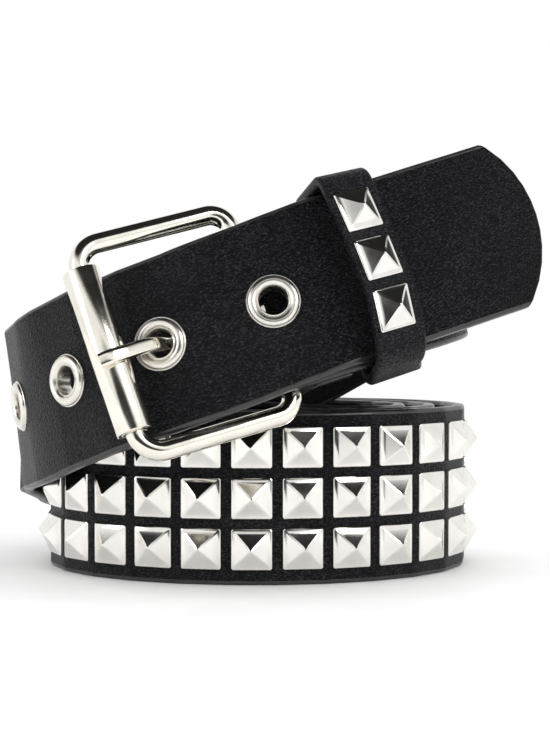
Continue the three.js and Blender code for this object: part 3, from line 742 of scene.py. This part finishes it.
def keeper_outline(wall):
    """The keeper's closed outline as across and out."""
    face = STRAP_THICKNESS / 2 + KEEPER_CLEARANCE + wall
    back = LAYER_DEPTH + KEEPER_CLEARANCE + wall
    top = STRAP_WIDTH / 2 + KEEPER_CLEARANCE + wall
    bottom = LAYER_LOW + KEEPER_CLEARANCE + wall
    radius = KEEPER_INNER_RADIUS + wall
    left, right, low, high = radius - bottom, top - radius, radius - back, face - radius
    steps = KEEPER_CORNER_STEPS
    front_line = [(x, face) for x in np.linspace(left, right, KEEPER_FRONT_POINTS)]
    top_line = [(top, y) for y in np.linspace(high, low, KEEPER_SIDE_POINTS)]
    back_line = [(x, -back) for x in np.linspace(right, left, KEEPER_BACK_POINTS)]
    low_line = [(-bottom, y) for y in np.linspace(low, high, KEEPER_SIDE_POINTS)]
    points = front_line + arc((right, high), radius, 90, 0, steps)[1:-1] + top_line
    points += arc((right, low), radius, 0, -90, steps)[1:-1] + back_line
    points += arc((left, low), radius, -90, -180, steps)[1:-1] + low_line
    points += arc((left, high), radius, 180, 90, steps)[1:-1]
    return np.array(points)


def keeper_bow(across):
    share = across / (STRAP_WIDTH / 2 + KEEPER_CLEARANCE + KEEPER_WALL)
    return KEEPER_BOW * max(0.0, 1 - share**2)


def keeper_point(along, across, out):
    front = STRAP_THICKNESS / 2 - KEEPER_INNER_RADIUS
    back = -LAYER_DEPTH + KEEPER_INNER_RADIUS
    share = min(1.0, max(0.0, (out - back) / (front - back)))
    raised = KEEPER_RAISE * (0.5 + along / KEEPER_WIDTH) + keeper_bow(across)
    bend = KEEPER_BEND * min(0.0, across - KEEPER_BEND_FROM)**2
    return keeper_seat.point(along + bend * share, across, out + raised * share)


def keeper():
    outer, inner = keeper_outline(KEEPER_WALL), keeper_outline(0.0)
    section = rounded_section(KEEPER_WIDTH / 2, KEEPER_WALL / 2, KEEPER_EDGE_RADIUS, 6)
    size = len(section)
    points = []
    for outer_point, inner_point in zip(outer, inner):
        for along, height in section:
            share = 0.5 + height / KEEPER_WALL
            across, out = inner_point * (1 - share) + outer_point * share
            points.append(keeper_point(along, across, out))
    count = len(outer)
    faces = skin_faces(count, size, closed=True)
    girth = np.concatenate([[0], np.cumsum(np.linalg.norm(np.diff(outer, axis=0), axis=1))])
    girth = np.append(girth, girth[-1] + np.linalg.norm(outer[0] - outer[-1]))
    round_section = np.concatenate([[0], np.cumsum(np.linalg.norm(np.diff(section, axis=0), axis=1))])
    round_section = np.append(round_section, round_section[-1] + STRAP_EDGE_RADIUS)
    uvs = []
    for face_index in range(len(faces)):
        i, k = divmod(face_index, size)
        corners = ((i, k), (i, k + 1), (i + 1, k + 1), (i + 1, k))
        uvs += [(round_section[b], girth[a]) for a, b in corners]
    piece = new_piece("keeper_leather", points, faces, [keeper_face], uvs, crease=60)
    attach(piece, "root")
    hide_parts("keeper")


def keeper_stud(index):
    place = KEEPER_STUD_SHIFT + (index - (KEEPER_STUD_COUNT - 1) / 2) * KEEPER_STUD_PITCH
    half = STUD_SIZE / 2
    face = STRAP_THICKNESS / 2 + KEEPER_CLEARANCE + KEEPER_WALL
    corners = [keeper_point(a + KEEPER_STUD_SLIDE, place + b, face)
               for a, b in ((-half, -half), (half, -half), (half, half), (-half, half))]
    along = (corners[1] - corners[0] + corners[2] - corners[3]) / (2 * STUD_SIZE)
    across = (corners[3] - corners[0] + corners[2] - corners[1]) / (2 * STUD_SIZE)
    out = unit(np.cross(across, along))
    middle = sum(corners) / len(corners)
    points, faces = stud_mesh()
    placed = [middle + along * x - across * y + out * z for x, y, z in points]
    piece = new_piece(f"keeper_stud_bright_{index + 1}", placed, faces, [stud_nickel],
                      crease=STUD_CREASE)
    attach(piece, "root")
    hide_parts(f"keeper_stud_{index + 1}")


# Turned and swept metal

def turned_piece(name, outline, seat, material, replaced, sides=EYELET_SIDES, crease=40):
    """A closed outline of radius and height, turned round the out axis of a frame."""
    points = []
    for angle in np.linspace(0, 360, sides, endpoint=False):
        c, s = math.cos(math.radians(angle)), math.sin(math.radians(angle))
        points += [seat.point(radius * c, radius * s, height) for radius, height in outline]
    faces = skin_faces(sides, len(outline), closed=True)
    piece = new_piece(name, points, faces, [material], crease=crease)
    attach(piece, "root")
    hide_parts(replaced)


def eyelet_outline():
    """The section of an eyelet: a domed flange with a thin rim, a rolled throat and a back lip."""
    hole = EYELET_HOLE / 2
    face = STRAP_THICKNESS / 2
    rim = EYELET_FLANGE / 2
    top = face + SEAT_GAP + EYELET_LIP
    dome = []
    outer, inner = rim - EYELET_RIM_BORDER, hole + EYELET_THROAT_ROUND
    foot = face + EYELET_DOME_FOOT
    for share in np.linspace(0, 1, EYELET_DOME_STEPS + 1):
        bulge = math.sin(math.pi * (0.12 + 0.8 * share))
        dome.append((outer - share * (outer - inner), foot + (top - foot) * bulge ** 0.8))
    throat = [(hole + 0.22, face + 0.75), (hole + 0.05, face + 0.45), (hole, face), (hole, -face)]
    flare = [(hole + 0.1, -face - 0.25), (hole + 0.5, -face - 0.25 - EYELET_BACK_LIP)]
    flare += [(EYELET_BACK_FLANGE / 2 - 0.5, -face - 0.2 - EYELET_BACK_LIP)]
    flare += [(EYELET_BACK_FLANGE / 2, -face - 0.1), (hole + EYELET_WALL, -face + 0.05)]
    rise = [(hole + EYELET_WALL, face - 0.05), (rim, face - 0.05), (rim, face + 0.2)]
    rise += [(rim - 0.12, face + 0.33), (rim - 0.26, face + 0.33)]
    return (rise + dome + throat + flare)[::-1]


def eyelets():
    for i, seat in enumerate(eyelet_seats):
        turned_piece(f"eyelet_ring_{i + 1}", eyelet_outline(), seat, eyelet_nickel,
                     f"eyelet_{i + 1}")


def fold_rivets():
    head = RIVET_HEAD / 2
    face = STRAP_THICKNESS + FOLD_GAP / 2
    rise = SEAT_GAP + RIVET_HEAD_HEIGHT
    dome = [(0.02, face + rise)]
    for angle in np.radians(np.linspace(15, 90, 6)):
        height = RIVET_HEAD_EDGE + (rise - RIVET_HEAD_EDGE) * math.cos(angle)
        dome.append((head * math.sin(angle), face + height))
    dome.append((head, face - 0.05))
    outline = dome + [(radius, -height) for radius, height in dome[::-1]]
    for i, side in enumerate((-1, 1)):
        middle = -(STRAP_THICKNESS + FOLD_GAP) / 2
        seat = belt_end.moved(-RIVET_FROM_BAR, side * RIVET_SPACING / 2, middle)
        turned_piece(f"fold_rivet_head_{i + 1}", outline, seat, stud_nickel,
                     f"fold_rivet_{i + 1}")


def swept_piece(name, frames, section, material, replaced, closed=False, crease=40):
    """A section swept along places, each with its two axes."""
    points = [centre + side * a + lift * b for centre, side, lift in frames for a, b in section]
    size = len(section)
    faces = skin_faces(len(frames), size, closed)
    if not closed:
        last = (len(frames) - 1) * size
        faces += [list(range(size))[::-1], list(range(last, last + size))]
    piece = new_piece(name, points, faces, [material], crease=crease)
    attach(piece, "root")
    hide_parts(replaced)


def circle(radius, sides):
    angles = np.linspace(0, 2 * math.pi, sides, endpoint=False)
    return [(radius * math.cos(a), radius * math.sin(a)) for a in angles]


def buckle_wire():
    half = (BUCKLE_INNER_HEIGHT + BUCKLE_WIRE) / 2
    bar = BUCKLE_BAR_SPACING
    corners = [(bar, -half, BUCKLE_ROLLER_CORNER, -90), (bar, half, BUCKLE_ROLLER_CORNER, 0),
               (0, half, BUCKLE_HEEL_CORNER, 90), (0, -half, BUCKLE_HEEL_CORNER, 180)]
    frames = []
    for x, y, radius, start in corners:
        middle_x = x - math.copysign(radius, x - bar / 2)
        middle_y = y - math.copysign(radius, y)
        for angle in np.linspace(start, start + 90, CORNER_STEPS + 1):
            c, s = math.cos(math.radians(angle)), math.sin(math.radians(angle))
            centre = buckle.point(middle_x + radius * c, middle_y + radius * s)
            frames.append((centre, buckle.along * c + buckle.across * s, buckle.out))
    swept_piece("buckle_wire", frames, circle(BUCKLE_WIRE / 2, WIRE_SIDES), buckle_nickel,
                "buckle_frame", closed=True)


def roller():
    inner, outer, half = BUCKLE_WIRE / 2 + SEAT_GAP, ROLLER_DIAMETER / 2, ROLLER_LENGTH / 2
    soft, round_off = ROLLER_EDGE, ROLLER_EDGE * ROLLER_EDGE_ROUND
    end = [(inner, half - soft / 2), (inner + soft / 2, half), (outer - soft, half),
           (outer - round_off, half - round_off), (outer, half - soft)]
    outline = [(radius, -height) for radius, height in end] + end[::-1]
    bar = buckle.moved(BUCKLE_BAR_SPACING)
    lying = Axes(bar.centre, bar.along, -bar.out)
    turned_piece("roller_tube", outline, lying, roller_nickel, "buckle_roller",
                 ROLLER_SIDES)


def centripetal_curve(points, steps):
    """A centripetal Catmull-Rom curve through points, sampled evenly by length."""
    points = [np.asarray(p, float) for p in points]
    points = [2 * points[0] - points[1], *points, 2 * points[-1] - points[-2]]
    found = []
    for p0, p1, p2, p3 in zip(points, points[1:], points[2:], points[3:]):
        t = np.cumsum([0] + [np.linalg.norm(b - a) ** 0.5 for a, b in ((p0, p1), (p1, p2), (p2, p3))])
        for u in np.linspace(t[1], t[2], CURVE_SAMPLES, endpoint=False):
            a1 = (p0 * (t[1] - u) + p1 * (u - t[0])) / (t[1] - t[0])
            a2 = (p1 * (t[2] - u) + p2 * (u - t[1])) / (t[2] - t[1])
            a3 = (p2 * (t[3] - u) + p3 * (u - t[2])) / (t[3] - t[2])
            b1 = (a1 * (t[2] - u) + a2 * (u - t[0])) / (t[2] - t[0])
            b2 = (a2 * (t[3] - u) + a3 * (u - t[1])) / (t[3] - t[1])
            found.append((b1 * (t[2] - u) + b2 * (u - t[1])) / (t[2] - t[1]))
    found = np.array(found + [points[-2]])
    lengths = np.concatenate([[0], np.cumsum(np.linalg.norm(np.diff(found, axis=0), axis=1))])
    places = np.linspace(0, lengths[-1], steps + 1)
    return np.stack([np.interp(places, lengths, found[:, c]) for c in range(3)], axis=1)


def prong():
    """The prong: round the heel bar, through its eyelet and onto the roller."""
    loop = BUCKLE_WIRE / 2 + SEAT_GAP + PRONG_THICKNESS / 2
    rest = ROLLER_DIAMETER / 2 + SEAT_GAP + PRONG_THICKNESS / 2
    behind = STRAP_THICKNESS / 2 + EYELET_BACK_LIP + 2 * SEAT_GAP + PRONG_THICKNESS / 2
    half = STRAP_THICKNESS / 2 + EYELET_LIP + SEAT_GAP
    lean = math.tan(math.radians(PRONG_TILT))
    seat = eyelet_seats[PRONG_EYELET - 1]
    angles = np.radians(np.linspace(PRONG_LOOP_START, PRONG_LOOP_END, PRONG_LOOP_STEPS + 1))
    points = [prong_root.point(loop * math.cos(a), 0, loop * math.sin(a)) for a in angles]
    way = centripetal_curve([
        points[-1],
        seat.point(-EYELET_FLANGE, 0, -behind - PRONG_DIP),
        seat.point(-EYELET_FLANGE / 2, 0, -behind - PRONG_DIP / 2),
        seat.point(-half * lean, 0, -half),
        seat.point(half * lean, 0, half),
        prong_root.point(BUCKLE_BAR_SPACING, -PRONG_SLANT, rest),
        prong_root.point(BUCKLE_BAR_SPACING + PRONG_PAST_ROLLER, -PRONG_TIP_SLANT, rest - SEAT_GAP),
    ], PRONG_STEPS)
    points = np.array([*points[:-1], *way])
    frames = []
    for i, centre in enumerate(points):
        forward = unit(points[min(len(points) - 1, i + 1)] - points[max(0, i - 1)])
        side = unit(buckle.across - forward * np.dot(buckle.across, forward))
        frames.append((centre, side, np.cross(side, forward)))
    section = rounded_section(PRONG_WIDTH / 2, PRONG_THICKNESS / 2, PRONG_BEVEL, 3, 5)[::-1]
    swept_piece("prong_bar", frames, section, buckle_nickel, "buckle_prong")


# Materials

def shader(name, **values):
    """A new material with its principled shader set."""
    material = bpy.data.materials.new(name)
    material.use_nodes = True
    tree = material.node_tree
    principled = tree.nodes["Principled BSDF"]
    for socket, value in values.items():
        principled.inputs[socket.replace("_", " ")].default_value = value
    return material, tree, principled


def node(tree, kind, settings=None, **inputs):
    """A node with its settings and inputs, by name or as i0, i1 and so on by number."""
    made = tree.nodes.new(kind)
    for key, value in (settings or {}).items():
        setattr(made, key, value)
    for key, value in inputs.items():
        numbered = key[0] == "i" and key[1:].isdigit()
        socket = made.inputs[int(key[1:])] if numbered else made.inputs[key]
        if isinstance(value, bpy.types.NodeSocket):
            tree.links.new(value, socket)
        else:
            socket.default_value = value
    return made


def ramp(tree, factor, stops):
    """A colour ramp through stops of place and grey or colour."""
    made = node(tree, "ShaderNodeValToRGB", Fac=factor)
    elements = made.color_ramp.elements
    for i, (place, colour) in enumerate(stops):
        element = elements[i] if i < 2 else elements.new(place)
        element.position = place
        element.color = (*colour, 1) if isinstance(colour, tuple) else (colour, colour, colour, 1)
    return made.outputs["Color"]


def math_node(tree, operation, a, b=0.0, c=0.0):
    return node(tree, "ShaderNodeMath", {"operation": operation}, i0=a, i1=b, i2=c).outputs[0]


def weighted(tree, *terms):
    """The sum of several values, each times its own weight."""
    total = 0.0
    for value, weight in terms:
        total = math_node(tree, "MULTIPLY_ADD", value, weight, total)
    return total


def strap_millimetres(tree, stretch=(1, 1, 1), turn=0.0):
    """Places on the strap in millimetres, from its lengthwise map."""
    uv = node(tree, "ShaderNodeUVMap", {"uv_map": "strap_mm"}).outputs["UV"]
    mapping = node(tree, "ShaderNodeMapping", Vector=uv)
    mapping.inputs["Rotation"].default_value = (0, 0, math.radians(turn))
    mapping.inputs["Scale"].default_value = stretch
    return mapping.outputs["Vector"]


def leather(name, tones_and_glint, roughness, grain, pebble):
    """Black leather: fine pebbles drawn out into slanting creases, their tips lighter with a painted
    highlight, a glint of sheen.
    """
    material, tree, principled = shader(name, Specular_IOR_Level=0.18)
    slanted = strap_millimetres(tree, (0.62, 1.25, 1), 38)
    plain = strap_millimetres(tree)
    cells = node(tree, "ShaderNodeTexVoronoi", {"feature": "SMOOTH_F1"}, Vector=slanted,
                 Scale=pebble, Smoothness=0.35, Randomness=1.0).outputs["Distance"]
    creases = node(tree, "ShaderNodeTexNoise", Vector=slanted, Scale=2.6, Detail=4.0,
                   Roughness=0.62, Distortion=0.8).outputs["Fac"]
    pores = node(tree, "ShaderNodeTexNoise", Vector=plain, Scale=3.2, Detail=3.0).outputs["Fac"]
    broad = node(tree, "ShaderNodeTexNoise", Vector=plain, Scale=0.05, Detail=3.0).outputs["Fac"]
    height = weighted(tree, (creases, 0.9), (cells, -0.8), (pores, 0.2))
    bump = node(tree, "ShaderNodeBump", Strength=grain, Distance=0.0008, Height=height)
    tree.links.new(bump.outputs["Normal"], principled.inputs["Normal"])
    # The lightest tone, where the grain rises most, is a painted highlight standing for glints of
    # sheen on the grain's tips.
    dark, light, painted_glint = tones_and_glint
    rise = weighted(tree, (creases, 1.0), (cells, -0.45), (broad, 0.2))
    tone_and_glint = ramp(tree, rise, [(0.26, dark), (0.4, light), (0.6, painted_glint)])
    tree.links.new(tone_and_glint, principled.inputs["Base Color"])
    low, high = roughness
    gloss = ramp(tree, weighted(tree, (creases, 0.6), (broad, 0.4)), [(0.3, low), (0.7, high)])
    tree.links.new(gloss, principled.inputs["Roughness"])
    return material


def painted_edge():
    """The glossy black paint on the strap's cut edges, slightly uneven."""
    material, tree, principled = shader("edge_paint", Specular_IOR_Level=0.6)
    place = strap_millimetres(tree, (0.35, 1, 1))
    waves = node(tree, "ShaderNodeTexNoise", Vector=place, Scale=0.8, Detail=4.0).outputs["Fac"]
    bump = node(tree, "ShaderNodeBump", Strength=0.35, Distance=0.0002, Height=waves)
    tree.links.new(bump.outputs["Normal"], principled.inputs["Normal"])
    tree.links.new(ramp(tree, waves, [(0.3, 0.012), (0.75, 0.03)]), principled.inputs["Base Color"])
    tree.links.new(ramp(tree, waves, [(0.3, 0.24), (0.8, 0.42)]), principled.inputs["Roughness"])
    return material


def metal(name, colour, roughness, scratch, stretch=(1, 1, 1)):
    """Plated metal with faint wear: a fine bump and a roughness that varies a little."""
    material, tree, principled = shader(name, Metallic=1.0)
    place = node(tree, "ShaderNodeTexCoord").outputs["Object"]
    mapping = node(tree, "ShaderNodeMapping", Vector=place)
    mapping.inputs["Scale"].default_value = [share / MM for share in stretch]
    fine = node(tree, "ShaderNodeTexNoise", Vector=mapping.outputs[0], Scale=6.0,
                Detail=4.0).outputs["Fac"]
    cloud = node(tree, "ShaderNodeTexNoise", Vector=place, Scale=220.0, Detail=3.0).outputs["Fac"]
    bump = node(tree, "ShaderNodeBump", Strength=scratch, Distance=0.00003, Height=fine)
    tree.links.new(bump.outputs["Normal"], principled.inputs["Normal"])
    low, high = roughness
    tree.links.new(ramp(tree, cloud, [(0.35, low), (0.7, high)]), principled.inputs["Roughness"])
    dull = tuple(c * 0.9 for c in colour)
    tree.links.new(ramp(tree, cloud, [(0.3, dull), (0.6, colour)]), principled.inputs["Base Color"])
    return material


# The lightest of each leather's tones is a painted highlight on the grain's tips.
face_leather = leather("face_leather", GRAIN_TONES_AND_GLINT, roughness=(0.28, 0.42), grain=0.9, pebble=2.4)
keeper_face = leather("keeper_face", GRAIN_TONES_AND_GLINT, roughness=(0.28, 0.42), grain=0.6, pebble=2.4)
back_leather = leather("back_leather", BACK_TONES_AND_GLINT, roughness=(0.6, 0.8), grain=0.4, pebble=2.6)
edge_paint = painted_edge()
stud_nickel = metal("stud_nickel", (0.85, 0.83, 0.79), roughness=(0.1, 0.17), scratch=0.12)
eyelet_nickel = metal("eyelet_nickel", (0.82, 0.79, 0.73), roughness=(0.24, 0.32), scratch=0.2)
buckle_nickel = metal("buckle_nickel", (0.90, 0.86, 0.77), roughness=(0.08, 0.14), scratch=0.1)
roller_nickel = metal("roller_nickel", (0.89, 0.85, 0.76), roughness=(0.1, 0.16), scratch=0.35,
                      stretch=(1, 1, 0.08))

strap_leather()
strap_studs()
keeper()
for stud_index in range(KEEPER_STUD_COUNT):
    keeper_stud(stud_index)
eyelets()
fold_rivets()
buckle_wire()
roller()
prong()


# The floor, the light and the camera

def floor():
    bpy.ops.mesh.primitive_plane_add(size=FLOOR_SIZE)
    ground = bpy.context.object
    ground.name = "floor"
    material, tree, principled = shader("floor_white", Roughness=0.7, Specular_IOR_Level=0.2)
    speck = node(tree, "ShaderNodeTexNoise", Scale=60.0, Detail=3.0).outputs["Fac"]
    tree.links.new(ramp(tree, speck, [(0.3, 0.86), (0.7, 0.9)]), principled.inputs["Base Color"])
    ground.data.materials.append(material)


def softbox(name, centre, target, size, power, in_reflections=True):
    """A soft square of light; one left out of reflections only brightens."""
    light = bpy.data.lights.new(name, "AREA")
    light.shape = "RECTANGLE"
    light.size, light.size_y = size
    light.energy = power
    lamp = bpy.data.objects.new(name, light)
    bpy.context.scene.collection.objects.link(lamp)
    lamp.location = centre
    way = Vector(target) - lamp.location
    lamp.rotation_euler = way.to_track_quat("-Z", "Y").to_euler()
    lamp.visible_glossy = in_reflections


def world_light():
    """A white studio all round, dark overhead and straight in front, where the camera stands."""
    bpy.context.scene.view_settings.view_transform = "Standard"
    world = bpy.data.worlds.new("studio")
    bpy.context.scene.world = world
    world.use_nodes = True
    tree = world.node_tree
    way = node(tree, "ShaderNodeTexCoord").outputs["Generated"]
    parts = node(tree, "ShaderNodeSeparateXYZ", Vector=way).outputs
    wall = ramp(tree, parts["Z"], [(0.6, 1.0), (0.72, 0.02)])
    front = math_node(tree, "MULTIPLY", parts["Y"], -1.0)
    room = ramp(tree, front, [(0.84, 1.0), (0.92, 0.04)])
    light = node(tree, "ShaderNodeMix", {"data_type": "RGBA", "blend_type": "MULTIPLY"},
                 Factor=1.0, A=wall, B=room).outputs["Result"]
    tree.links.new(light, tree.nodes["Background"].inputs["Color"])


def camera():
    data = bpy.data.cameras.new("camera")
    data.sensor_width = SENSOR
    data.lens = CAMERA_LENS
    data.clip_start = CAMERA_NEAR
    camera_object = bpy.data.objects.new("camera", data)
    bpy.context.scene.collection.objects.link(camera_object)
    camera_object.location = [(a + b) * MM for a, b in zip(CAMERA_PLACE, SHIFT)]
    camera_object.rotation_euler = (math.radians(90 - CAMERA_PITCH), 0, 0)
    bpy.context.scene.camera = camera_object


floor()
world_light()
softbox("top", (0.0, 0.1, 2.0), (0, 0.1, 0), size=(3.2, 3.2), power=55, in_reflections=False)
softbox("right", (0.62, -0.66, 0.6), BELT_MIDDLE, size=(0.45, 0.45), power=3)
softbox("left", (-0.8, -0.35, 0.3), BELT_MIDDLE, size=(0.3, 0.45), power=1.2)
camera()
